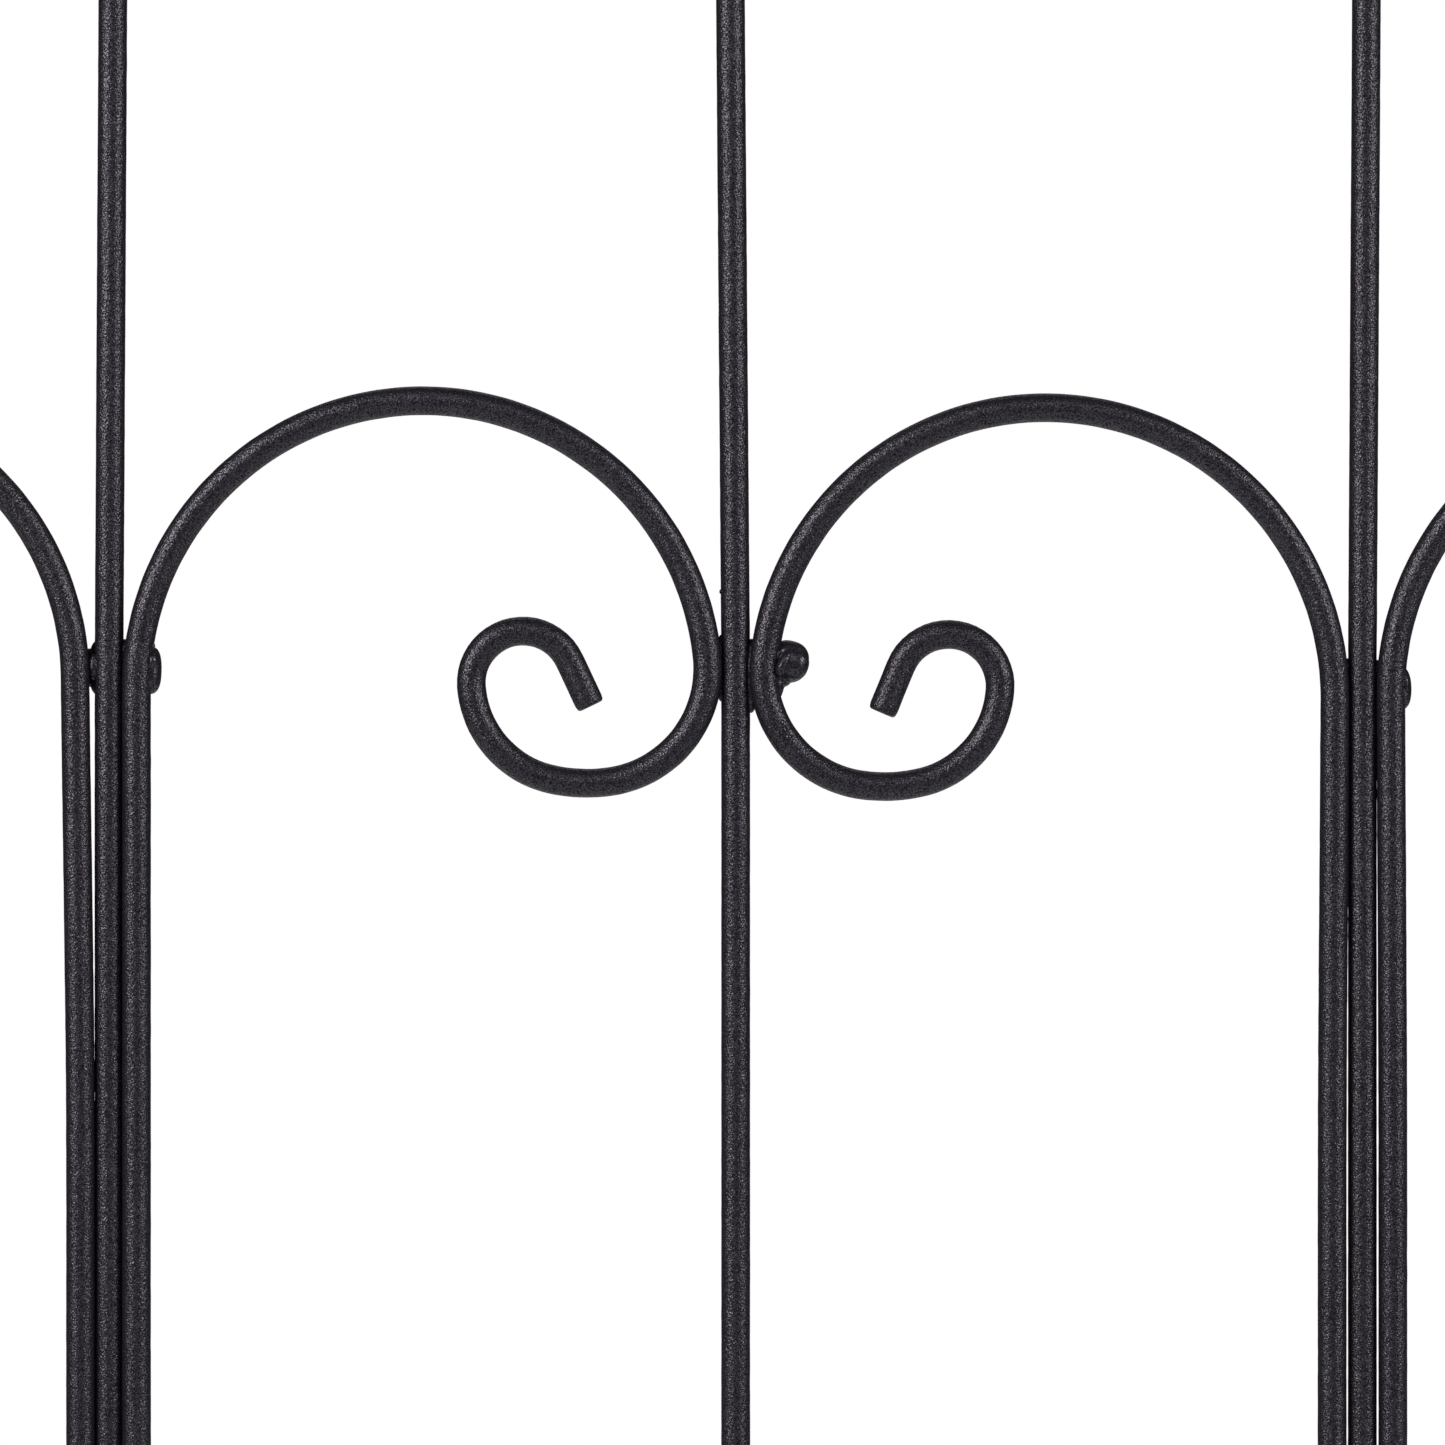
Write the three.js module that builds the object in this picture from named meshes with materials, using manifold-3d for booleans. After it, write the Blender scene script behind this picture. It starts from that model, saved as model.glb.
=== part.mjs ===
// Arched garden trellis: one flat panel of round steel bars, welded together and powder-coated black.
// Millimetres, +Z up. X runs across the panel and Y through it: the front faces -Y, the welds are on the back.
// The origin is on the soil line, midway between the two legs, in the plane of the arched outer bar.
import * as THREE from "three";
import { mergeVertices } from "three/addons/utils/BufferGeometryUtils.js";
import Module from "manifold-3d";

const wasm = await Module();
wasm.setup();

// ---- Driving dimensions ----
const FILL_D = 5.6; // uprights, scroll bars and rails, over the coat
const FRAME_D = 8; // the arched outer bar, over the coat
const TOUCH_GAP = 0.1; // left between two bars that lie against each other
const CUT_GAP = 0.3; // left around a bar where a weld or a bar's end is shaped to it
const BAY = 125; // from one upright to the next

// Heights above the soil
const LEG_TIP_Z = -200;
const POINT_LENGTH = 42; // the tapered end of a leg
const POINT_TIP_R = 1.5; // its blunt flat tip
const BOTTOM_RAIL_Z = 40;
const LOWER_SCROLL_Z = 400; // where the lower scrolls are welded
const MIDDLE_RAIL_Z = 640;
const UPPER_SCROLL_Z = 880; // where the upper scrolls are welded
const SPRING_Z = 1050; // where the outer bar's arch begins, and the top rail
const UPRIGHT_BELOW_RAIL = 12; // uprights end this far under the bottom rail

// ---- The scroll: a wide arch over the bay that winds in to a small curl ----
const SCROLL_START = -5; // the arch leaves the straight leg this far over the weld line
const ARCH_TURN = 174;
const CURL = [
  // the winding after the arch, tighter and tighter: [radius, turn in degrees]
  [22.7, 88.5],
  [33.2, 19.3],
  [20.5, 74],
  [10.3, 162],
];
const CURL_TAIL = 10; // the straight cut end
const BOW_LENGTH = 100; // the stretch of a leg, below a scroll, where it bends to or from its upright

// ---- Worked out from those ----
const FILL_R = FILL_D / 2;
const FRAME_R = FRAME_D / 2;
const BACK_Y = FRAME_R;
const UPRIGHT_Y = BACK_Y - FILL_R; // the uprights' backs are flush with the outer bar's back
const SCROLL_Y = 0; // the scroll bars lie in the outer bar's own plane
const RAIL_Y = BACK_Y + TOUCH_GAP + FILL_R; // rails lie behind all other bars
const BESIDE_UPRIGHT = Math.sqrt((FILL_D + TOUCH_GAP) ** 2 - UPRIGHT_Y ** 2); // sideways, between centres
const BESIDE_FRAME = FILL_R + FRAME_R + TOUCH_GAP;
const radians = THREE.MathUtils.degToRad;
const CURL_LEAD = 1 - Math.cos(radians(180 - ARCH_TURN)); // the first curl radius finishes the half turn
const SCROLL_WIDTH = BAY - 2 * BESIDE_UPRIGHT;
const ARCH_R = (SCROLL_WIDTH - CURL[0][0] * CURL_LEAD) / (2 - CURL_LEAD);
const FRAME_X = BAY + BESIDE_UPRIGHT + SCROLL_WIDTH + BESIDE_FRAME;

// ---- Bars along a flat path ----
const CHORD_ERROR = 0.25; // how far a straight step may cut inside its arc
const FILL_SIDES = 10;
const FRAME_SIDES = 12;

// Walks a path in the panel's plane. A heading is in degrees from straight up, clockwise seen from the front.
class Pen {
  constructor(x, z, heading = 0) {
    this.x = x;
    this.z = z;
    this.heading = heading;
    this.stations = [];
    this.mark();
  }
  mark() {
    this.stations.push({ x: this.x, z: this.z, heading: this.heading });
  }
  line(length) {
    this.x += length * Math.sin(radians(this.heading));
    this.z += length * Math.cos(radians(this.heading));
    this.mark();
    return this;
  }
  arc(radius, turn) {
    const step = 2 * Math.acos(1 - CHORD_ERROR / radius);
    const count = Math.ceil(Math.abs(radians(turn)) / step);
    const side = Math.sign(turn);
    const from = radians(this.heading);
    const centreX = this.x + side * radius * Math.cos(from);
    const centreZ = this.z - side * radius * Math.sin(from);
    const start = this.heading;
    for (let i = 1; i <= count; i++) {
      this.heading = start + (turn * i) / count;
      const now = radians(this.heading);
      this.x = centreX - side * radius * Math.cos(now);
      this.z = centreZ + side * radius * Math.sin(now);
      this.mark();
    }
    return this;
  }
}

// A curve through stations, with one ring of the extrusion at each.
class BarAxis extends THREE.Curve {
  constructor(stations, y) {
    super();
    this.y = y;
    this.stations = stations;
  }
  spot(t) {
    return this.stations[Math.round(t * (this.stations.length - 1))];
  }
  getUtoTmapping(u) {
    return u;
  }
  getPoint(t, target = new THREE.Vector3()) {
    const s = this.spot(t);
    return target.set(s.x, this.y, s.z);
  }
  getTangent(t, target = new THREE.Vector3()) {
    const heading = radians(this.spot(t).heading);
    return target.set(Math.sin(heading), 0, Math.cos(heading));
  }
}

function roundSection(radius, sides) {
  const corners = [];
  for (let i = 0; i < sides; i++) {
    const a = (2 * Math.PI * i) / sides;
    corners.push(new THREE.Vector2(radius * Math.cos(a), radius * Math.sin(a)));
  }
  return new THREE.Shape(corners);
}

function bar(stations, y, radius, sides) {
  return new THREE.ExtrudeGeometry(roundSection(radius, sides), {
    steps: stations.length - 1,
    extrudePath: new BarAxis(stations, y),
  });
}

// ---- Solids ----
const SAME_POINT = 1e-4; // corners this close are one corner

function solidOf(geometry) {
  const plain = geometry.clone();
  plain.deleteAttribute("normal");
  plain.deleteAttribute("uv");
  const merged = mergeVertices(plain, SAME_POINT);
  return new wasm.Manifold(
    new wasm.Mesh({
      numProp: 3,
      vertProperties: new Float32Array(merged.attributes.position.array),
      triVerts: new Uint32Array(merged.index.array),
    }),
  );
}

function geometryOf(solid) {
  const mesh = solid.getMesh();
  const geometry = new THREE.BufferGeometry();
  geometry.setAttribute("position", new THREE.BufferAttribute(mesh.vertProperties, 3));
  geometry.setIndex(new THREE.BufferAttribute(mesh.triVerts, 1));
  geometry.computeVertexNormals();
  return geometry;
}

const blackCoat = new THREE.MeshStandardMaterial({
  name: "black_powder_coat",
  color: 0x232226,
  roughness: 0.5,
  metalness: 0.0,
});
const coatedWeld = new THREE.MeshStandardMaterial({
  name: "coated_weld",
  color: 0x26252a,
  roughness: 0.42,
  metalness: 0.0,
});

const trellis = new THREE.Group();

function add(name, geometry, material = blackCoat) {
  const mesh = new THREE.Mesh(geometry, material);
  mesh.name = name;
  trellis.add(mesh);
}

// ---- The arched outer bar, with a blunt point on each leg ----
const archPath = (z) =>
  new Pen(-FRAME_X, z).line(SPRING_Z - z).arc(FRAME_X, 180).line(SPRING_Z - z).stations;

function legPoint(x) {
  const root = FRAME_R - 0.05; // a hair inside the leg's own surface
  const overlap = 4; // sunk into the leg so that the two join
  const top = LEG_TIP_Z + POINT_LENGTH;
  const profile = [
    new THREE.Vector2(0, LEG_TIP_Z),
    new THREE.Vector2(POINT_TIP_R, LEG_TIP_Z),
    new THREE.Vector2(root, top),
    new THREE.Vector2(root, top + overlap),
    new THREE.Vector2(0, top + overlap),
  ];
  return solidOf(new THREE.LatheGeometry(profile, FRAME_SIDES).rotateX(Math.PI / 2).translate(x, 0, 0));
}

function arch(radius) {
  return solidOf(bar(archPath(LEG_TIP_Z + POINT_LENGTH), 0, radius, FRAME_SIDES));
}

add("arch_frame", geometryOf(arch(FRAME_R).add(legPoint(-FRAME_X)).add(legPoint(FRAME_X))));

// ---- Three uprights, each leaning a fraction of a degree above the upper weld ----
const UPRIGHTS = [
  { name: "left", x: -BAY, lean: 0.33 },
  { name: "centre", x: 0, lean: -0.45 },
  { name: "right", x: BAY, lean: 0.35 },
];
const UNDER_CREST = 1.5; // an uncut upright ends this far under the arch's centreline, inside the bar
const archRoom = arch(FRAME_R + CUT_GAP);

function uprightStations({ x, lean }) {
  const foot = BOTTOM_RAIL_Z - UPRIGHT_BELOW_RAIL;
  const pen = new Pen(x, foot).line(UPPER_SCROLL_Z - foot);
  pen.heading = lean;
  const crest = SPRING_Z + Math.sqrt(FRAME_X ** 2 - x ** 2);
  return pen.line(crest - UNDER_CREST - UPPER_SCROLL_Z).stations;
}

const upright = (spec, radius) => solidOf(bar(uprightStations(spec), UPRIGHT_Y, radius, FILL_SIDES));

for (const spec of UPRIGHTS) {
  add(`${spec.name}_upright`, geometryOf(upright(spec, FILL_R).subtract(archRoom)));
}

// ---- Four scroll bars: a straight leg beside an upright, with a scroll at each end ----
// slack is the gap between the leg and its upright half-way up, and spread is the gap at the weld.
// lift moves a scroll outwards along the leg, and wind closes its curl by that many degrees more. skew
// widens the arch's first quarter by that share of its radius, at the cost of the second.
const SCROLL_BARS = [
  {
    name: "outer_left_scroll_bar",
    x: -BAY,
    side: -1,
    slack: 0,
    upper: { lift: 3, wind: 2, spread: 1.1 },
    lower: { lift: 0.6, wind: -2, spread: 0 },
  },
  {
    name: "inner_left_scroll_bar",
    x: -BAY,
    side: 1,
    slack: 0,
    upper: { lift: 1, wind: -3, spread: 0 },
    lower: { lift: 0, wind: 0, spread: 0 },
  },
  {
    name: "inner_right_scroll_bar",
    x: BAY,
    side: -1,
    slack: 0.55,
    upper: { lift: -1.5, wind: 0, spread: 0, skew: 0.014 },
    lower: { lift: -0.5, wind: 1, spread: 0 },
  },
  {
    name: "outer_right_scroll_bar",
    x: BAY,
    side: 1,
    slack: 0.4,
    upper: { lift: -0.6, wind: 0, spread: 0 },
    lower: { lift: 0.4, wind: 3, spread: 0 },
  },
];

// Half a scroll bar, from the middle of its leg to its cut end, as if it stood on x = 0 and turned right.
function halfScroll(weldHeight, slack, { lift, wind, spread, skew = 0 }) {
  const legTop = weldHeight + SCROLL_START + lift;
  const bow = Math.atan2(spread - slack, BOW_LENGTH);
  const pen = new Pen(BESIDE_UPRIGHT + slack, 0).line(legTop - BOW_LENGTH);
  pen.heading = THREE.MathUtils.radToDeg(bow);
  pen.line(BOW_LENGTH / Math.cos(bow));
  // A leg that stands off its upright leaves less room in the bay, so its arch is that much narrower.
  const archR = ARCH_R - spread / 2;
  pen.arc(archR * (1 + skew), 90 - pen.heading);
  pen.arc(archR * (1 - skew / (1 - CURL_LEAD)), ARCH_TURN - 90);
  CURL.forEach(([radius, turn], i) => pen.arc(radius, turn + (i === CURL.length - 1 ? wind : 0)));
  return pen.line(CURL_TAIL).stations;
}

function scrollStations({ x, side, slack, upper, lower }) {
  const up = halfScroll(UPPER_SCROLL_Z - MIDDLE_RAIL_Z, slack, upper);
  const down = halfScroll(MIDDLE_RAIL_Z - LOWER_SCROLL_Z, slack, lower);
  const topHalf = up.map((s) => ({
    x: x + side * s.x,
    z: MIDDLE_RAIL_Z + s.z,
    heading: side * s.heading,
  }));
  const bottomHalf = down.map((s) => ({
    x: x + side * s.x,
    z: MIDDLE_RAIL_Z - s.z,
    heading: -side * s.heading,
  }));
  return [...bottomHalf.reverse().slice(0, -1), ...topHalf];
}

const scrollBar = (spec, radius) => bar(scrollStations(spec), SCROLL_Y, radius, FILL_SIDES);

for (const spec of SCROLL_BARS) {
  add(spec.name, scrollBar(spec, FILL_R));
}

// ---- Three rails across the back ----
const RAIL_HALF = FRAME_X + FRAME_R - 1; // each end stops just inside the outer bar's edge
const RAILS = [
  { name: "bottom_rail", z: BOTTOM_RAIL_Z },
  { name: "middle_rail", z: MIDDLE_RAIL_Z },
  { name: "top_rail", z: SPRING_Z },
];

function rail(z, radius) {
  const stations = new Pen(-RAIL_HALF, z, 90).line(2 * RAIL_HALF).stations;
  return bar(stations, RAIL_Y, radius, FILL_SIDES);
}

for (const { name, z } of RAILS) {
  add(name, rail(z, FILL_R));
}

// ---- Weld beads on the back ----
const LUMP_SIDES = 10;
const LUMP_RINGS = 6;
const SLIVER = 0.02; // edges of a shaped bead that are finer than this are merged away
const BEAD_DEPTH = 2.6; // how far a bead reaches in front of and behind the bars' backs

const roomR = FILL_R + CUT_GAP;
const room = {
  arch: archRoom,
  uprights: UPRIGHTS.map((spec) => upright(spec, roomR)),
  scrolls: SCROLL_BARS.map((spec) => solidOf(scrollBar(spec, roomR))),
  rails: RAILS.map(({ z }) => solidOf(rail(z, roomR))),
};

// One lump of weld metal: its centre, and its half sizes across, through and up.
function lump(x, y, z, halfX, halfY, halfZ) {
  const ball = new THREE.SphereGeometry(1, LUMP_SIDES, LUMP_RINGS);
  return solidOf(ball.scale(halfX, halfY, halfZ).translate(x, y, z));
}

function addWeld(name, lumps, neighbours) {
  const whole = lumps.reduce((a, b) => a.add(b));
  const shaped = neighbours.reduce((weld, neighbour) => weld.subtract(neighbour), whole);
  add(name, geometryOf(shaped.simplify(SLIVER)), coatedWeld);
}

// The five places along a row of welds.
const PLACES = [
  { name: "left_post", x: -FRAME_X, bars: [room.arch, room.scrolls[0]] },
  { name: "left", x: -BAY, bars: [room.uprights[0], room.scrolls[0], room.scrolls[1]] },
  { name: "centre", x: 0, bars: [room.uprights[1], room.scrolls[1], room.scrolls[2]] },
  { name: "right", x: BAY, bars: [room.uprights[2], room.scrolls[2], room.scrolls[3]] },
  { name: "right_post", x: FRAME_X, bars: [room.arch, room.scrolls[3]] },
];

// Scroll welds: lumps laid behind the bars, as [across, up, half width, half height]. A fifth number is
// how much further forward a lump reaches, where the bead wraps round the inner side of a scroll bar.
const POST_JOINT = FRAME_R + TOUCH_GAP / 2; // from the outer bar's centre to its contact with a scroll
const SCROLL_WELDS = {
  left_post: [[POST_JOINT, 0, 4.6, 5]],
  left: [
    [0.6, -0.1, 5.8, 4.6],
    [5.4, -0.2, 5, 5.3],
    [7.9, -0.7, 2.5, 4.7, 3],
  ],
  centre: [
    [-3.4, -0.4, 4.6, 5],
    [5, -2, 5, 7.3],
    [11.1, 1, 3.5, 4.1, 3.4],
  ],
  right: [
    [-2, -2.6, 5, 4.4],
    [4.4, -4, 5.2, 5.3],
    [7.3, -4.2, 2.5, 4.4, 3],
  ],
  right_post: [[-POST_JOINT, 0, 4.8, 5.2]],
};
const SCROLL_ROWS = [
  { name: "upper", z: UPPER_SCROLL_Z, up: 1 },
  { name: "lower", z: LOWER_SCROLL_Z, up: -1 },
];

for (const row of SCROLL_ROWS) {
  for (const place of PLACES) {
    const lumps = SCROLL_WELDS[place.name].map(([across, up, halfX, halfZ, forward = 0]) => {
      const z = row.z + row.up * up;
      return lump(place.x + across, BACK_Y - forward / 2, z, halfX, BEAD_DEPTH + forward / 2, halfZ);
    });
    addWeld(`${row.name}_scroll_weld_${place.name}`, lumps, place.bars);
  }
}

// Rail welds: one tack on top of each rail where it crosses behind an upright or a post.
const TACK = { halfX: 3.6, halfY: 2.6, halfZ: 2.6 };
const TACK_Y = BACK_Y + 1.8;
const TACK_OVER_RAIL = FILL_R + 1.2;

RAILS.forEach((spec, i) => {
  for (const place of PLACES) {
    const tack = lump(place.x, TACK_Y, spec.z + TACK_OVER_RAIL, TACK.halfX, TACK.halfY, TACK.halfZ);
    const row = spec.name.replace("_rail", "");
    addWeld(`${row}_rail_weld_${place.name}`, [tack], [...place.bars, room.rails[i]]);
  }
});

// Arch welds: where each upright's top end meets the underside of the arch.
const ARCH_BEAD = { halfX: 4.2, halfZ: 3.6 };

for (const [i, spec] of UPRIGHTS.entries()) {
  const run = uprightStations(spec).at(-1);
  const reach = Math.hypot(run.x, run.z - SPRING_Z);
  const joint = (FRAME_X - FRAME_R) / reach; // on the arch's underside, towards its centre
  const bead = lump(
    run.x * joint,
    BACK_Y,
    SPRING_Z + (run.z - SPRING_Z) * joint,
    ARCH_BEAD.halfX,
    BEAD_DEPTH,
    ARCH_BEAD.halfZ,
  );
  addWeld(`arch_weld_${spec.name}`, [bead], [room.arch, room.uprights[i]]);
}

export default trellis;
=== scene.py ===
import math

import bmesh
import bpy
import numpy as np
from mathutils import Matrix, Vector


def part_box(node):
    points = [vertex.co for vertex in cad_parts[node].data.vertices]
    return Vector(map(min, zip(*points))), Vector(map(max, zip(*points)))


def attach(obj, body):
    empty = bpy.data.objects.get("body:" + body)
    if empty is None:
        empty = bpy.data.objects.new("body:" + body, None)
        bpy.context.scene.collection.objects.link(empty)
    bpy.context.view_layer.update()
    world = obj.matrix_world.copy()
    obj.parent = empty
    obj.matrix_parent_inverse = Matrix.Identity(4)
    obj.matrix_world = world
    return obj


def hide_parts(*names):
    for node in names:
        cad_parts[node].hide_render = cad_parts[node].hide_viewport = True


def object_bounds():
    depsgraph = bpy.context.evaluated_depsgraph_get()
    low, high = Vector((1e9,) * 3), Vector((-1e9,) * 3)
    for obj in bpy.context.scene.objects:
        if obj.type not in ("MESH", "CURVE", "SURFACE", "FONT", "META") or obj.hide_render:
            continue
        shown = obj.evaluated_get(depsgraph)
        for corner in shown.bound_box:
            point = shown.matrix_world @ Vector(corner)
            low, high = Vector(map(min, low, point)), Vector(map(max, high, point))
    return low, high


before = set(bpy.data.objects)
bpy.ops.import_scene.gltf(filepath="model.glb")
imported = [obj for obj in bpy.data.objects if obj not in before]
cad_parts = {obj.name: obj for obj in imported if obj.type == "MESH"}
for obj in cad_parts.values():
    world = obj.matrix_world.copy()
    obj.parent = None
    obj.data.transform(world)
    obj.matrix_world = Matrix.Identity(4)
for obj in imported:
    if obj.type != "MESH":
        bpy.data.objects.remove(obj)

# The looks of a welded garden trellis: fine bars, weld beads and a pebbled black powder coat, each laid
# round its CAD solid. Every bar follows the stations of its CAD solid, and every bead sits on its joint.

CAD_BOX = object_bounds()
MM = 0.001
BODY = "root"
DEPTH = np.array([0.0, 1.0, 0.0])  # through the panel, from front to back
COAT = "black_powder_coat"
WELD = "coated_weld"

rng = np.random.default_rng(7)  # one row of random numbers, so the result is the same each time


# ---- Reading the CAD bars ----
SAME_PLACE = 6  # decimals of a metre that two corners share when they are one corner
FLAT = 2e-6  # corners no further than this from the back of a bar lie on its back
OWN_RING = 0.05 * MM  # the corners beside one at the back, on the same ring, lie at least this far forward
EVEN = 1.01  # and they are equally far from it to within this ratio


def welded(node):
    """A CAD node's corners without doubles, and each corner's linked corners."""
    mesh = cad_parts[node].data
    co = np.empty(len(mesh.vertices) * 3)
    mesh.vertices.foreach_get("co", co)
    points, index = np.unique(co.reshape(-1, 3).round(SAME_PLACE), axis=0, return_inverse=True)
    index = index.ravel()
    ends = np.empty(len(mesh.edges) * 2, int)
    mesh.edges.foreach_get("vertices", ends)
    linked = [set() for _ in points]
    for a, b in index[ends].reshape(-1, 2):
        if a != b:
            linked[a].add(int(b))
            linked[b].add(int(a))
    return points, linked


def walk(points, chain):
    """The corners of an open chain in order, from its lower end, or its left end if it is level."""
    ends = [i for i, near in chain.items() if len(near) == 1]
    here = min(ends, key=lambda i: (points[i][2], points[i][0]))
    order = [here]
    while True:
        onward = [i for i in chain[here] if i not in order[-2:]]
        if not onward:
            return order
        here = onward[0]
        order.append(here)


def unit(vector):
    return vector / np.linalg.norm(vector)


def ring_direction(points, linked, i, onward):
    """The bar's direction at station i: square to the two corners beside it on its own ring."""
    beside = sorted(
        (j for j in linked[i] if abs(points[j][1] - points[i][1]) > OWN_RING),
        key=lambda j: np.linalg.norm(points[j] - points[i]),
    )[:2]
    reach = [np.linalg.norm(points[j] - points[i]) for j in beside]
    if len(beside) < 2 or reach[1] > EVEN * reach[0]:
        return onward  # a shaped end has no ring of its own
    across = points[beside[1]] - points[beside[0]]
    direction = unit(np.array([-across[2], 0.0, across[0]]))
    return direction * np.sign(direction @ onward)


def spine(node):
    """A CAD bar's radius, and the points and directions of its axis: each ring of its corners has one
    that lies straight behind the axis, and those corners form a line along the back of the bar."""
    points, linked = welded(node)
    back = points[:, 1].max()
    radius = (back - points[:, 1].min()) / 2
    line = {int(i) for i in np.flatnonzero(points[:, 1] > back - FLAT)}
    order = walk(points, {i: [j for j in linked[i] if j in line] for i in line})
    behind = points[order]
    steps = np.diff(behind, axis=0)
    steps /= np.linalg.norm(steps, axis=1)[:, None]
    onward = np.vstack([steps, steps[-1:]])
    directions = [ring_direction(points, linked, i, d) for i, d in zip(order, onward)]
    return radius, behind - radius * DEPTH, np.array(directions)


def along(points, directions, step):
    """Points and directions about `step` apart, on the arcs and straights through the stations."""
    out = []
    for p, d, q, e in zip(points[:-1], directions[:-1], points[1:], directions[1:]):
        chord = np.linalg.norm(q - p)
        turn = math.acos(min(1.0, float(d @ e)))
        pull = chord / math.cos(turn / 4) ** 2  # makes the cubic follow a round arc
        count = max(1, round(chord / step))
        t = (np.arange(count) / count)[:, None]
        spot = (
            (2 * t**3 - 3 * t**2 + 1) * p
            + (t**3 - 2 * t**2 + t) * pull * d
            + (3 * t**2 - 2 * t**3) * q
            + (t**3 - t**2) * pull * e
        )
        speed = (
            (6 * t**2 - 6 * t) * (p - q)
            + (3 * t**2 - 4 * t + 1) * pull * d
            + (3 * t**2 - 2 * t) * pull * e
        )
        out.append(np.hstack([spot, speed / np.linalg.norm(speed, axis=1)[:, None]]))
    out.append(np.hstack([points[-1], directions[-1]])[None])
    rows = np.vstack(out)
    return rows[:, :3], rows[:, 3:]


# ---- The coat's uneven thickness ----
COAT_WAVES = 48  # added together, each with its own length and way
WAVE_LENGTHS = (2.6 * MM, 8.0 * MM)  # from the shortest to the longest
COAT_ROUGH = 0.012 * MM  # how far the coat swells and thins
COAT_GRAIN = 0.08 * MM  # how far the coat's grain stands proud of the bar
wave_lengths = rng.uniform(*WAVE_LENGTHS, COAT_WAVES)
wave_ways = rng.normal(size=(COAT_WAVES, 3))
wave_ways /= np.linalg.norm(wave_ways, axis=1)[:, None]
wave_ways *= (2 * math.pi / wave_lengths)[:, None]
wave_starts = rng.uniform(0, 2 * math.pi, COAT_WAVES)


def coat_height(points):
    """How much thicker than average the coat is at each point."""
    waves = np.cos(points @ wave_ways.T + wave_starts)
    return COAT_GRAIN + COAT_ROUGH * math.sqrt(2 / COAT_WAVES) * waves.sum(axis=1)


# ---- Bars ----
FILL_SIDES = 28
FRAME_SIDES = 36
FILL_STEP = 1.2 * MM  # from one ring to the next
FRAME_STEP = 1.8 * MM
EDGE = 0.7 * MM  # the coat rounds a cut end's edge by this much
EDGE_SWING = np.radians([0, 22, 45, 68, 90])  # where the rings over that edge lie on its quarter circle
DISH = 0.08 * MM  # and a cut end sinks this far in the middle
DISH_RINGS = [(0.3, 0.5), (0.8, 0.22)]  # shares of that depth, and of the bar's radius
FOOT_SLANT = 0.03  # how far an upright's foot is from square, as a slope
SCROLL_SLANT = 0.05  # the most that a scroll bar's ends are
RAIL_SLANT = 0.03  # and a rail's
GATHER = 10 * MM  # an upright's last rings over this length gather into its shaped end
INTO_ARCH = 0.25 * MM  # and the shaped end reaches this far into the arch
POINT_TIP_R = 1.5 * MM
POINT_SWELL = 0.92  # under 1, the sides of a leg's point bulge a little
POINT_EDGE = 0.3 * POINT_TIP_R  # the rounding of the blunt tip


def rings_of(points, directions, radii, sides):
    """Corners round a path, as an array of [ring, corner, xyz]."""
    angle = np.linspace(0, 2 * math.pi, sides, endpoint=False)[None, :, None]
    across = np.cross(directions, DEPTH)[:, None]
    spokes = np.cos(angle) * DEPTH + np.sin(angle) * across
    return points[:, None] + np.asarray(radii)[:, None, None] * spokes


def coated(rings, points):
    """The rings with the coat's uneven thickness added."""
    spokes = rings - points[:, None]
    spokes /= np.linalg.norm(spokes, axis=2, keepdims=True)
    height = coat_height(rings.reshape(-1, 3)).reshape(rings.shape[:2])
    return rings + height[:, :, None] * spokes


def cut_end(point, outward, radius, sides, slant):
    """Rings over a sawn end, from the last full ring to near the middle, and the middle point."""
    steps = list(zip(EDGE * (np.sin(EDGE_SWING) - 1), radius - EDGE * (1 - np.cos(EDGE_SWING))))
    steps += [(-depth * DISH, share * radius) for depth, share in DISH_RINGS]
    offsets = np.array([s[0] for s in steps])
    radii = np.array([s[1] for s in steps])
    points = point + offsets[:, None] * outward
    rings = rings_of(points, np.tile(outward, (len(steps), 1)), radii, sides)
    across = np.cross(outward, DEPTH)
    lean = (rings - points[:, None]) @ (slant * across)
    share = np.clip(1 + offsets / EDGE, 0, 1)
    rings += (share[:, None] * lean)[:, :, None] * outward
    return rings, point - DISH * outward


def skin(name, rings, head, tail):
    """A closed smooth mesh over rings, closed by a point at each end."""
    count, sides = rings.shape[:2]
    verts = np.vstack([rings.reshape(-1, 3), head, tail])
    i = np.arange(count - 1)[:, None] * sides
    j = np.arange(sides)
    k = (j + 1) % sides
    quads = np.stack([i + j, i + k, i + k + sides, i + j + sides], axis=2).reshape(-1, 4)
    last = (count - 1) * sides
    fans = [[count * sides, b, a] for a, b in zip(j, k)]
    fans += [[count * sides + 1, last + a, last + b] for a, b in zip(j, k)]
    mesh = bpy.data.meshes.new(name)
    mesh.from_pydata(verts.tolist(), [], quads.tolist() + [[int(v) for v in f] for f in fans])
    if signed_volume(mesh) < 0:
        mesh.flip_normals()
    return mesh


def signed_volume(mesh):
    """The mesh's volume, which is negative if its faces look inwards."""
    mesh.calc_loop_triangles()
    corners = np.empty(len(mesh.loop_triangles) * 3, int)
    mesh.loop_triangles.foreach_get("vertices", corners)
    co = np.empty(len(mesh.vertices) * 3)
    mesh.vertices.foreach_get("co", co)
    a, b, c = co.reshape(-1, 3)[corners.reshape(-1, 3)].transpose(1, 0, 2)
    return float(np.einsum("ij,ij->", a, np.cross(b, c))) / 6


def place(name, mesh, node, slot):
    """The finished piece that stands for a CAD node."""
    mesh.shade_smooth()
    piece = bpy.data.objects.new(name, mesh)
    bpy.context.scene.collection.objects.link(piece)
    piece.data.materials.append(MATERIALS[slot])
    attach(piece, BODY)
    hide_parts(node)


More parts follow.
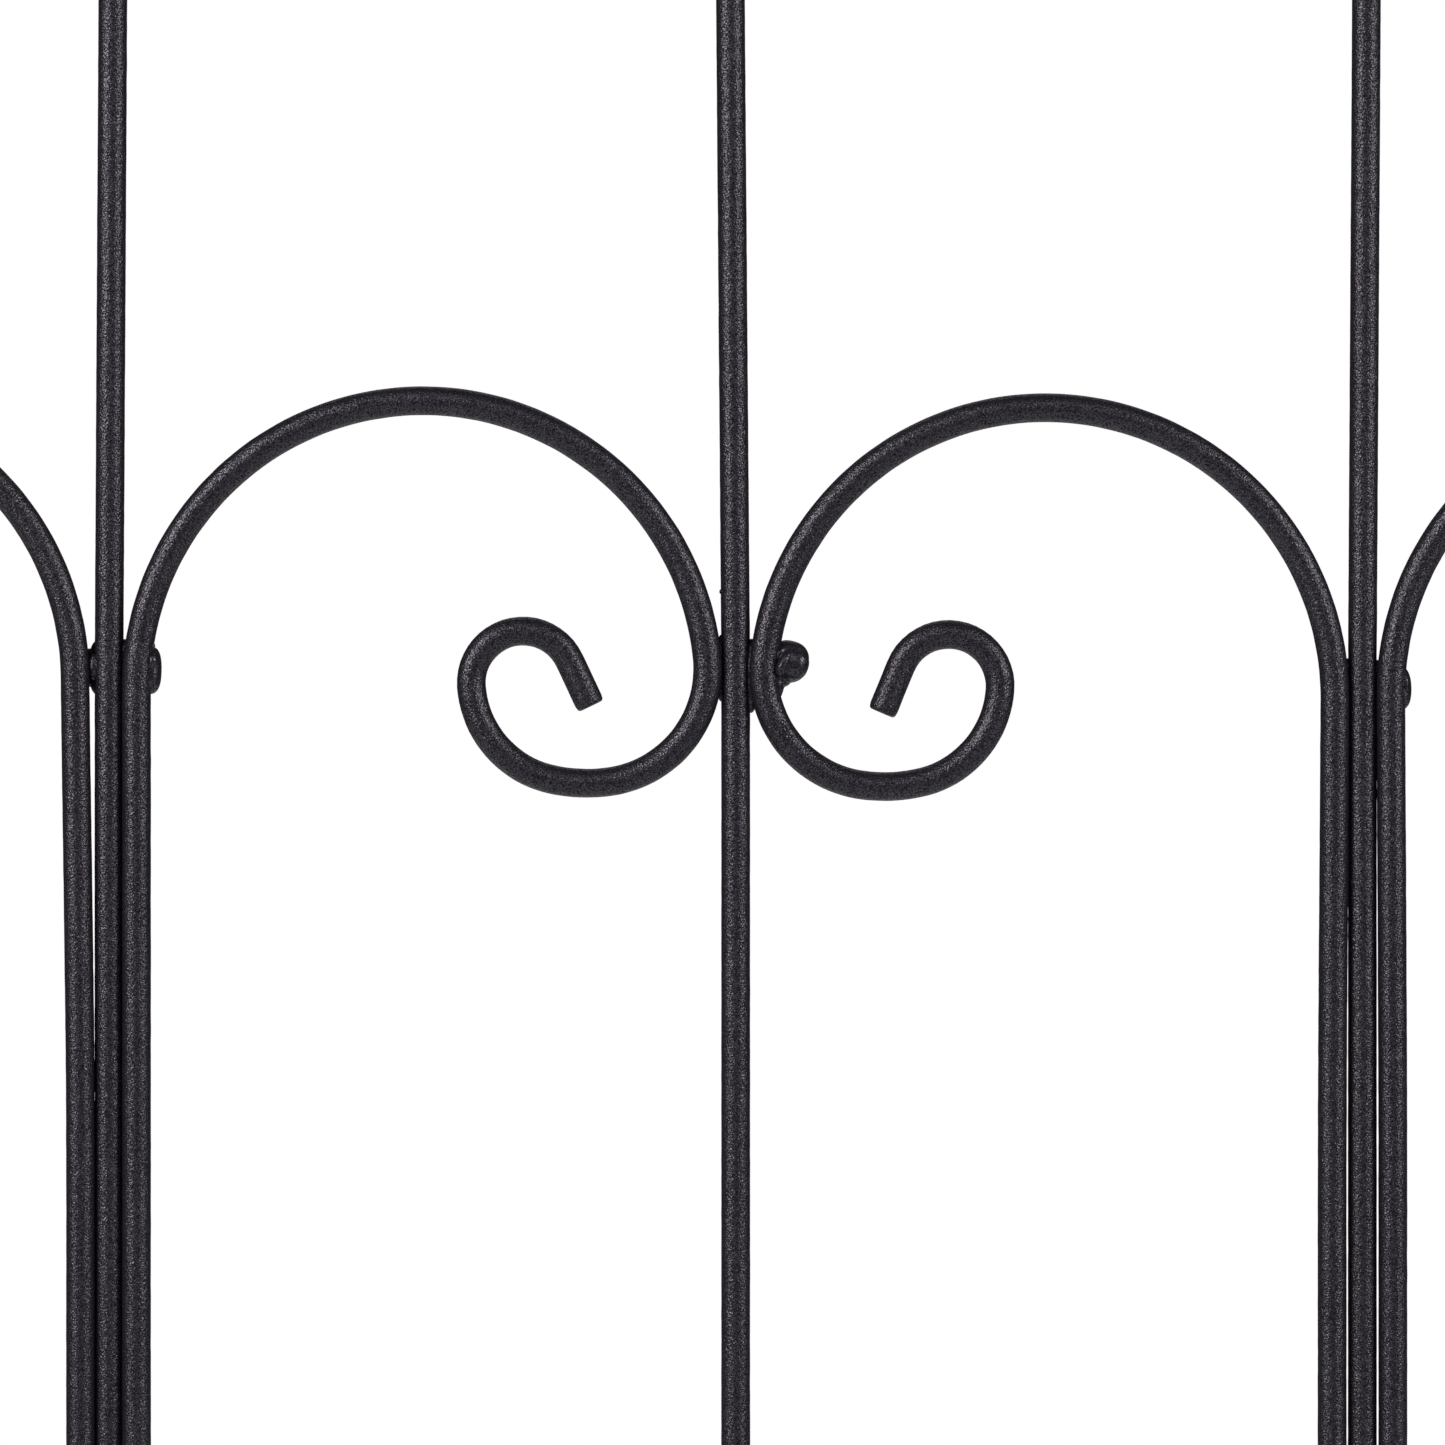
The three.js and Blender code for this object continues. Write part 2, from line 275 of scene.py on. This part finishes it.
def sawn_bar(node, slants):
    """A fill bar with a cut at both ends."""
    radius, stations, directions = spine(node)
    points, ways = along(stations, directions, FILL_STEP)
    body = rings_of(points[1:-1], ways[1:-1], np.full(len(points) - 2, radius), FILL_SIDES)
    first, head = cut_end(points[0], -ways[0], radius, FILL_SIDES, slants[0])
    last, tail = cut_end(points[-1], ways[-1], radius, FILL_SIDES, slants[1])
    # The first end's rings run round the other way, because they face backwards.
    first = np.roll(first[::-1, ::-1], 1, axis=1)
    body = coated(body, points[1:-1])
    place(f"{node}_rod", skin(node, np.vstack([first, body, last]), head, tail), node, COAT)


def shaped_upright(node, arch):
    """An upright: its foot is cut, and its top end is shaped to the underside of the arch.
    arch holds the height where the arch springs, the x of its leg and the radius of its bar."""
    radius, stations, _ = spine(node)
    legs = list(zip(stations[:-1], stations[1:]))
    straight = [unit(q - p) for p, q in legs]
    counts = [round(np.linalg.norm(q - p) / FILL_STEP) for p, q in legs]
    steps = [np.linspace(p, q, n, endpoint=False) for (p, q), n in zip(legs, counts)]
    points = np.vstack([*steps, stations[-1]])
    ways = np.vstack([*(np.tile(d, (n, 1)) for d, n in zip(straight, counts)), straight[-1]])
    first, head = cut_end(points[0], -ways[0], radius, FILL_SIDES, FOOT_SLANT)
    first = np.roll(first[::-1, ::-1], 1, axis=1)
    body = rings_of(points[1:], ways[1:], np.full(len(points) - 1, radius), FILL_SIDES)
    body = coated(body, points[1:])
    start = points[-1][2] - GATHER
    share = np.clip((body[..., 2] - start) / GATHER, 0, 1)
    half_bar = np.sqrt(np.clip(arch["radius"] ** 2 - body[..., 1] ** 2, 0, None))
    reach = arch["x"] - half_bar + INTO_ARCH
    under = arch["spring"] + np.sqrt(reach**2 - body[..., 0] ** 2)
    gathered = start + share * (under - start)
    body[..., 2] = np.where(share > 0, gathered, body[..., 2])
    tail = body[-1].mean(axis=0)
    place(f"{node}_rod", skin(node, np.vstack([first, body]), head, tail), node, COAT)


def pointed_arch(node):
    """The outer bar: one bent bar whose two leg ends are drawn down to blunt points. Gives back the x of
    its right leg and the bar's radius."""
    radius, stations, directions = spine(node)
    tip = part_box(node)[0].z
    point_top = stations[0][2]
    stations = np.vstack([stations[:1], stations, stations[-1:]])
    stations[0, 2] = stations[-1, 2] = tip
    directions = np.vstack([directions[:1], directions, directions[-1:]])
    points, ways = along(stations, directions, FRAME_STEP)
    over_tip = np.clip((points[:, 2] - tip) / (point_top - tip), 0, 1)
    radii = POINT_TIP_R + (radius - POINT_TIP_R) * over_tip**POINT_SWELL
    radii[[0, -1]] = POINT_TIP_R - POINT_EDGE
    points[[1, -2], 2] = tip + POINT_EDGE
    radii[[1, -2]] = POINT_TIP_R
    rings = coated(rings_of(points, ways, radii, FRAME_SIDES), points)
    place(f"{node}_tube", skin(node, rings, points[0], points[-1]), node, COAT)
    return stations[-1][0], radius


# ---- Weld beads ----
BALL_SUBDIVISIONS = 4
BEAD_VOXEL = 0.21  # mm
BEAD_SMOOTH = 3  # rounds of smoothing
SMOOTH_FACTOR = 0.5
RIPPLE = 1.35  # mm from one ripple of a bead to the next
RIPPLE_HALF = 1.35 * RIPPLE  # mm from a ripple's middle to its ends along the bead
RIPPLE_SWELL = (0.93, 1.05)  # how far ripples differ in width
RIPPLE_DEPTH = (0.94, 1.04)  # and in depth
RIPPLE_AWAY = 0.15  # mm that a ripple may lie to one side
RIPPLE_TURN = 4  # degrees that it may be turned
TAPER = 0.14  # how much narrower a bead is at its ends


def lump(x, y, z, half_x, half_y, half_z, tilt=0.0, boxy=2.0):
    """One lump of weld metal, in mm from its joint: place, half sizes, tilt in degrees, and how square
    it is, from 2 for an ellipsoid upwards."""
    return (x, y, z), (half_x, half_y, half_z), math.radians(tilt), boxy


def run(start, end, half, depth, y=0.0):
    """Ripples of a bead from start to end, as (x, z) in mm. half is the bead's half width and depth its
    half thickness."""
    (x0, z0), (x1, z1) = start, end
    length = math.hypot(x1 - x0, z1 - z0)
    tilt = math.degrees(math.atan2(z1 - z0, x1 - x0))
    count = max(2, round(length / RIPPLE) + 1)
    lumps = []
    for i in range(count):
        t = i / (count - 1)
        bulge = 1 - TAPER + TAPER * math.sin(math.pi * (0.15 + 0.7 * t))
        half_z = half * rng.uniform(*RIPPLE_SWELL) * bulge
        away_x, away_z = rng.uniform(-RIPPLE_AWAY, RIPPLE_AWAY, 2)
        x = x0 + t * (x1 - x0) + away_x
        z = z0 + t * (z1 - z0) + away_z
        half_y = depth * rng.uniform(*RIPPLE_DEPTH)
        turned = tilt + rng.uniform(-RIPPLE_TURN, RIPPLE_TURN)
        lumps.append(lump(x, y, z, RIPPLE_HALF, half_y, half_z, turned))
    return lumps


def ball(subdivisions):
    """Corners and faces of a round ball of radius 1."""
    made = bmesh.new()
    bmesh.ops.create_icosphere(made, subdivisions=subdivisions, radius=1.0)
    corners = np.array([v.co for v in made.verts])
    faces = np.array([[v.index for v in f.verts] for f in made.faces])
    made.free()
    return corners, faces


BALL = ball(BALL_SUBDIVISIONS)


def lumps_mesh(lumps):
    """All the lumps as separate balls in one mesh, in mm."""
    corners, faces = BALL
    verts = []
    for middle, halves, tilt, boxy in lumps:
        c, s = math.cos(tilt), math.sin(tilt)
        squared = (np.abs(corners) ** boxy).sum(axis=1) ** (-1 / boxy)
        x, y, z = (corners * squared[:, None] * halves).T
        turned = np.column_stack([c * x - s * z, y, s * x + c * z])
        verts.append(turned + middle)
    all_faces = np.vstack([faces + i * len(corners) for i in range(len(lumps))])
    mesh = bpy.data.meshes.new("lumps")
    mesh.from_pydata(np.vstack(verts).tolist(), [], all_faces.tolist())
    return mesh


def melted(lumps):
    """The lumps run together into one closed mesh, in mm."""
    temporary = bpy.data.objects.new("melt", lumps_mesh(lumps))
    bpy.context.scene.collection.objects.link(temporary)
    remesh = temporary.modifiers.new("melt", "REMESH")
    remesh.mode = "VOXEL"
    remesh.voxel_size = BEAD_VOXEL
    smooth = temporary.modifiers.new("settle", "SMOOTH")
    smooth.iterations = BEAD_SMOOTH
    smooth.factor = SMOOTH_FACTOR
    seen = temporary.evaluated_get(bpy.context.evaluated_depsgraph_get())
    mesh = bpy.data.meshes.new_from_object(seen)
    bpy.data.objects.remove(temporary)
    return mesh


def weld_bead(node, joint, lumps):
    """The bead that stands for a CAD weld. Its lumps are in mm from the joint."""
    mesh = melted(lumps)
    co = np.empty(len(mesh.vertices) * 3)
    normals = np.empty(len(mesh.vertices) * 3)
    mesh.vertices.foreach_get("co", co)
    mesh.vertex_normals.foreach_get("vector", normals)
    co = co.reshape(-1, 3) * MM + np.array(joint)
    co += coat_height(co)[:, None] * normals.reshape(-1, 3)
    mesh.vertices.foreach_set("co", co.ravel())
    mesh.update()
    place(f"{node}_bead", mesh, node, WELD)


# ---- Materials ----
# Texture scales, in waves or cells to a metre
PEBBLES = 3000.0  # the fine grain of the coat
FLECKS = 3400.0  # spots of more and less gloss, nearly as fine
WAVES = 1100.0  # a coarser and shallower unevenness
PATCHES = 90.0  # places that are a little duller or glossier
DUST = 210.0  # cells that may each hold a speck of dust

WAVE_SHARE = 0.3  # the coarser unevenness is this deep, next to the grain
DUST_COLOUR = (0.16, 0.16, 0.165, 1)
DUST_MIX = 0.55  # how far a speck covers the coat
COAT_DARK = (0.0075, 0.0062, 0.0100)
COAT_LIGHT = (0.0135, 0.0114, 0.0173)
GLOSS_TINT = (0.98, 0.92, 1.0, 1)


def node_material(name):
    """A new material, its node tree and shader, and the object's own coordinates for its textures."""
    material = bpy.data.materials.new(name)
    material.use_nodes = True
    tree = material.node_tree
    shader = tree.nodes["Principled BSDF"]
    where = tree.nodes.new("ShaderNodeTexCoord")
    return material, tree, shader, where.outputs["Object"]


def texture(tree, kind, where, **inputs):
    """A texture node laid out in the object's own space, with its inputs by name."""
    made = tree.nodes.new(kind)
    tree.links.new(where, made.inputs["Vector"])
    for key, value in inputs.items():
        made.inputs[key].default_value = value
    return made


def numbers(tree, source, low, high, first, last):
    """Maps source from low..high to the numbers first..last."""
    made = tree.nodes.new("ShaderNodeMapRange")
    for key, value in zip(("From Min", "From Max", "To Min", "To Max"), (low, high, first, last)):
        made.inputs[key].default_value = value
    tree.links.new(source, made.inputs["Value"])
    return made.outputs["Result"]


def colours(tree, source, low, high, dark, light):
    """Maps source from low..high to the colours dark..light."""
    made = tree.nodes.new("ShaderNodeValToRGB")
    made.color_ramp.elements[0].position = low
    made.color_ramp.elements[0].color = (*dark, 1)
    made.color_ramp.elements[1].position = high
    made.color_ramp.elements[1].color = (*light, 1)
    tree.links.new(source, made.inputs["Fac"])
    return made.outputs["Color"]


def powder_coat(name, grain, rough_low, rough_high):
    """A fine grained powder coat. grain is how deep the grain is."""
    material, tree, shader, where = node_material(name)
    pebbles = texture(tree, "ShaderNodeTexNoise", where, Scale=PEBBLES, Detail=0.5, Roughness=0.6)
    flecks = texture(tree, "ShaderNodeTexNoise", where, Scale=FLECKS, Detail=0.5, Roughness=0.6)
    waves = texture(tree, "ShaderNodeTexNoise", where, Scale=WAVES, Detail=1.0, Roughness=0.5)
    patches = texture(tree, "ShaderNodeTexNoise", where, Scale=PATCHES, Detail=3.0, Roughness=0.6)
    dust = texture(tree, "ShaderNodeTexVoronoi", where, Scale=DUST, Randomness=1.0)

    # Gloss
    roughness = numbers(tree, patches.outputs["Fac"], 0.3, 0.7, rough_low, rough_high)
    tree.links.new(roughness, shader.inputs["Roughness"])
    gloss = numbers(tree, flecks.outputs["Fac"], 0.36, 0.64, 0.05, 0.95)
    tree.links.new(gloss, shader.inputs["Specular IOR Level"])
    shader.inputs["Specular Tint"].default_value = GLOSS_TINT

    # Colour, with a speck of dust in the middle of a few cells
    coat = colours(tree, pebbles.outputs["Fac"], 0.3, 0.75, COAT_DARK, COAT_LIGHT)
    speck = numbers(tree, dust.outputs["Distance"], 0.05, 0.085, 1.0, 0.0)
    rare = numbers(tree, dust.outputs["Color"], 0.80, 0.84, 0.0, DUST_MIX)
    both = tree.nodes.new("ShaderNodeMath")
    both.operation = "MULTIPLY"
    tree.links.new(speck, both.inputs[0])
    tree.links.new(rare, both.inputs[1])
    mix = tree.nodes.new("ShaderNodeMix")
    mix.data_type = "RGBA"
    mix.inputs["B"].default_value = DUST_COLOUR
    tree.links.new(both.outputs[0], mix.inputs["Factor"])
    tree.links.new(coat, mix.inputs["A"])
    tree.links.new(mix.outputs["Result"], shader.inputs["Base Color"])

    # Relief: the coarser bumps on top of the grain
    bumps = None
    for source, depth in ((pebbles, grain), (waves, grain * WAVE_SHARE)):
        bump = tree.nodes.new("ShaderNodeBump")
        bump.inputs["Strength"].default_value = 1.0
        bump.inputs["Distance"].default_value = depth
        tree.links.new(source.outputs["Fac"], bump.inputs["Height"])
        if bumps:
            tree.links.new(bumps, bump.inputs["Normal"])
        bumps = bump.outputs["Normal"]
    tree.links.new(bumps, shader.inputs["Normal"])
    return material


MATERIALS = {
    COAT: powder_coat(COAT, grain=0.14 * MM, rough_low=0.33, rough_high=0.38),
    WELD: powder_coat(WELD, grain=0.07 * MM, rough_low=0.28, rough_high=0.36),
}


# ---- Places in the frame ----
def middle_of(node):
    low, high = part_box(node)
    return (low + high) / 2


UPRIGHTS = {side: spine(f"{side}_upright") for side in ("left", "centre", "right")}
RAILS = {row: middle_of(f"{row}_rail") for row in ("bottom", "middle", "top")}
fill_radius, centre_stations, _ = UPRIGHTS["centre"]
upper_weld_z = centre_stations[1][2]  # the uprights begin to lean at the upper welds
lower_weld_z = 2 * RAILS["middle"].z - upper_weld_z

# ---- Making the bars ----
post_x, frame_radius = pointed_arch("arch_frame")
arch = {"spring": RAILS["top"].z, "x": post_x, "radius": frame_radius}
for side in UPRIGHTS:
    shaped_upright(f"{side}_upright", arch)
for node in ("outer_left", "inner_left", "inner_right", "outer_right"):
    sawn_bar(f"{node}_scroll_bar", rng.uniform(-SCROLL_SLANT, SCROLL_SLANT, 2))
for row in RAILS:
    sawn_bar(f"{row}_rail", rng.uniform(-RAIL_SLANT, RAIL_SLANT, 2))

# ---- Making the welds ----
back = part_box("arch_frame")[1].y
post_joint = frame_radius / MM  # from the outer bar's axis to its joint with a scroll bar

WELD_X = {
    "left_post": -post_x,
    "left": UPRIGHTS["left"][1][0][0],
    "centre": UPRIGHTS["centre"][1][0][0],
    "right": UPRIGHTS["right"][1][0][0],
    "right_post": post_x,
}

# Lumps beside the run of each upper scroll weld, in mm from its joint at the back of the bars. They follow
# the outlines of the weld metal that shows beside and between the bars from the front.
LEFT_LUMPS = [
    # between the outer scroll bar and the upright
    lump(-2.9, -3.6, 0.1, 1.3, 1.3, 2.5),
    lump(-2.6, -1.6, 0.0, 1.7, 2.4, 3.4),
    lump(-2.2, -1.0, -0.15, 2.0, 2.2, 5.5, boxy=2.3),
    # between the upright and the inner scroll bar
    lump(2.9, -1.4, 0.3, 1.5, 2.2, 5.2, boxy=3.0),
    # the squarish end, with a swelling and a nib on it
    lump(7.8, -2.4, -0.65, 2.55, 3.1, 4.75, tilt=-1, boxy=2.8),
    lump(8.9, -4.9, 1.2, 0.9, 1.2, 1.4),
    lump(8.6, -4.2, 4.2, 0.7, 0.7, 0.6),
]
RIGHT_LUMPS = [
    # on either side of the upright
    lump(-2.9, -1.2, -2.8, 1.5, 2.0, 4.5, boxy=2.6),
    lump(2.9, -1.3, -3.4, 1.5, 2.1, 4.8, boxy=3.0),
    # the narrow end, with a ridge on it
    lump(7.2, -2.6, -4.2, 2.5, 3.0, 4.4, tilt=2, boxy=2.5),
    lump(8.5, -4.4, -3.6, 0.7, 1.2, 2.0),
]
CENTRE_LUMPS = [
    # on either side of the upright
    lump(-2.9, -1.4, -0.2, 1.1, 2.2, 6.7),
    lump(3.0, -1.8, -1.8, 1.7, 2.6, 7.4, tilt=-1, boxy=2.3),
    # the web under the nub
    lump(8.3, -2.2, -3.4, 1.4, 2.4, 3.6, tilt=-8),
    lump(9.7, -2.2, -2.4, 1.3, 2.2, 1.5),
    # the round nub and its ridge
    lump(10.5, -2.2, 1.1, 4.0, 3.4, 4.1, tilt=-12, boxy=2.4),
    lump(11.6, -3.3, 0.5, 2.9, 2.9, 3.2, tilt=-20, boxy=2.3),
    lump(9.5, -4.8, 0.7, 1.2, 2.3, 2.9, tilt=-30),
    lump(8.7, -4.0, 2.7, 0.7, 1.8, 1.7, tilt=-41),
    # a drop on the upright
    lump(-2.65, -3.0, 15.0, 0.6, 0.6, 0.6),
    # spatter on the front of the right scroll bar
    lump(9.5, -6.45, -11.3, 0.45, 0.6, 0.9, tilt=25),
    lump(10.1, -6.6, -12.8, 0.42, 0.6, 0.95, tilt=30),
    lump(10.5, -6.65, -14.0, 0.65, 0.6, 0.55),
    lump(9.5, -6.55, -15.3, 0.55, 0.6, 0.5),
]


def scroll_weld(place_name):
    """The lumps of one upper scroll weld. Its run of ripples differs each time that it is made."""
    if place_name == "left_post":
        return run((post_joint, -3.6), (post_joint, 3.6), half=3.9, depth=2.5, y=-0.6)
    if place_name == "left":
        return run((-4.6, -0.3), (7.0, -0.6), half=4.4, depth=2.4, y=-0.3) + LEFT_LUMPS
    if place_name == "centre":
        return run((-5.0, -0.6), (6.2, -0.8), half=4.6, depth=2.3, y=-0.1) + CENTRE_LUMPS
    if place_name == "right":
        return run((-4.2, -2.4), (5.6, -4.2), half=4.2, depth=2.4, y=-0.3) + RIGHT_LUMPS
    return run((-post_joint, 3.8), (-post_joint, -3.8), half=4.1, depth=2.5, y=-0.6)


def flipped(lumps):
    """The same lumps upside down, for a joint at the lower end of the scroll bars."""
    return [((x, y, -z), halves, -tilt, boxy) for (x, y, z), halves, tilt, boxy in lumps]


for row, weld_z in (("upper", upper_weld_z), ("lower", lower_weld_z)):
    for name, x in WELD_X.items():
        lumps = scroll_weld(name)
        if row == "lower":
            lumps = flipped(lumps)
        weld_bead(f"{row}_scroll_weld_{name}", (x, back, weld_z), lumps)

over_rail = fill_radius / MM + 0.9  # mm from a rail's axis up to the tack on top of it
for row, middle in RAILS.items():
    for name, x in WELD_X.items():
        tack = run((-2.3, over_rail), (2.3, over_rail + 0.2), half=1.9, depth=2.1, y=1.5)
        weld_bead(f"{row}_rail_weld_{name}", (x, back, middle.z), tack)

for name in UPRIGHTS:
    joint = middle_of(f"arch_weld_{name}")
    bead = run((-2.6, -0.4), (2.6, 0.2), half=2.9, depth=2.1)
    weld_bead(f"arch_weld_{name}", (joint.x, back, joint.z), bead)


# ---- Camera, lights, floor ----
SHOWN = 288 * MM  # the width that the picture takes in, at the panel
AIM_LEFT = 2.63 * MM  # the picture's middle lies this far left of the centre upright
AIM_UNDER = 11.1 * MM  # and this far under the upper welds
CAMERA_AWAY = 1.5  # metres
CAMERA_SIGHT = 60  # metres, more than any view needs
SENSOR = 36.0  # mm


def look_at(thing, target):
    thing.rotation_euler = (Vector(target) - thing.location).to_track_quat("-Z", "Y").to_euler()


aim = Vector((centre_stations[1][0] - AIM_LEFT, 0, upper_weld_z - AIM_UNDER))
camera = bpy.data.objects.new("camera", bpy.data.cameras.new("camera"))
bpy.context.scene.collection.objects.link(camera)
camera.data.sensor_width = SENSOR
camera.data.lens = SENSOR * CAMERA_AWAY / SHOWN
camera.data.clip_end = CAMERA_SIGHT
camera.location = aim - Vector((0, CAMERA_AWAY, 0))
look_at(camera, aim)
bpy.context.scene.camera = camera


def softbox(name, azimuth, away, height, width, tall, power):
    """A soft light round the panel: azimuth 0 is in front and 90 to the right, in degrees. Its distance,
    height and size are in metres and its power in watts."""
    turn = math.radians(azimuth)
    data = bpy.data.lights.new(name, "AREA")
    data.shape = "RECTANGLE"
    data.size, data.size_y, data.energy = width, tall, power
    light = bpy.data.objects.new(name, data)
    bpy.context.scene.collection.objects.link(light)
    light.location = (away * math.sin(turn), -away * math.cos(turn), height)
    look_at(light, (0, 0, aim.z))
    light.visible_camera = False
    return light


# azimuth, distance, height, width, tallness, power
bar_lights = [
    softbox("key_left", -50, 2.2, 1.74, 0.8, 1.6, 48),
    softbox("fill_right", 60, 2.2, 1.64, 0.8, 1.6, 34),
    softbox("top", 0, 1.8, 2.05, 1.2, 0.8, 5),
    softbox("back", 180, 2.2, 2.6, 1.6, 1.0, 4),
]
floor_lights = [
    softbox("ceiling", 0, 0.0, 5.0, 9.0, 9.0, 330),
    softbox("shadow", -50, 1.5, 4.0, 0.4, 0.4, 35),
]

FLOOR_RADIUS = 3.0  # metres
FLOOR_CORNERS = 96
FLOOR_MOTTLE = 3.0  # waves to a metre in its faint mottling
FLOOR_DARK = (0.78, 0.78, 0.78)
FLOOR_LIGHT = (0.82, 0.82, 0.82)
FLOOR_ROUGHNESS = 0.8
tip_z = CAD_BOX[0].z
turns = [2 * math.pi * i / FLOOR_CORNERS for i in range(FLOOR_CORNERS)]
floor_mesh = bpy.data.meshes.new("floor")
floor_mesh.from_pydata(
    [(FLOOR_RADIUS * math.cos(t), FLOOR_RADIUS * math.sin(t), tip_z) for t in turns],
    [],
    [list(range(FLOOR_CORNERS))],
)
floor = bpy.data.objects.new("floor", floor_mesh)
bpy.context.scene.collection.objects.link(floor)
floor_look, floor_tree, floor_shader, floor_where = node_material("pale_floor")
mottle = texture(floor_tree, "ShaderNodeTexNoise", floor_where, Scale=FLOOR_MOTTLE, Detail=4.0)
pale = colours(floor_tree, mottle.outputs["Fac"], 0.3, 0.7, FLOOR_DARK, FLOOR_LIGHT)
floor_tree.links.new(pale, floor_shader.inputs["Base Color"])
floor_shader.inputs["Roughness"].default_value = FLOOR_ROUGHNESS
floor_mesh.materials.append(floor_look)

# Two lights are for the floor and the others are for the bars, so the floor is pale all round.
floor_only = bpy.data.collections.new("floor_only")
floor_only.objects.link(floor)
for light in floor_lights:
    light.light_linking.receiver_collection = floor_only
all_but_floor = bpy.data.collections.new("all_but_floor")
all_but_floor.objects.link(floor)
all_but_floor.collection_objects[0].light_linking.link_state = "EXCLUDE"
for light in bar_lights:
    light.light_linking.receiver_collection = all_but_floor

# The camera sees a white studio, whose own light on the bars is faint.
WHITE = (1, 1, 1, 1)
STUDIO_LIGHT = 0.045
world = bpy.data.worlds.new("studio")
bpy.context.scene.world = world
world.use_nodes = True
sky = world.node_tree
seen = sky.nodes["Background"]
seen.inputs["Color"].default_value = WHITE
seen.inputs["Strength"].default_value = 1.0
lit = sky.nodes.new("ShaderNodeBackground")
lit.inputs["Color"].default_value = WHITE
lit.inputs["Strength"].default_value = STUDIO_LIGHT
rays = sky.nodes.new("ShaderNodeLightPath")
choose = sky.nodes.new("ShaderNodeMixShader")
sky.links.new(rays.outputs["Is Camera Ray"], choose.inputs["Fac"])
sky.links.new(lit.outputs["Background"], choose.inputs[1])
sky.links.new(seen.outputs["Background"], choose.inputs[2])
sky.links.new(choose.outputs["Shader"], sky.nodes["World Output"].inputs["Surface"])
bpy.context.scene.view_settings.view_transform = "Standard"
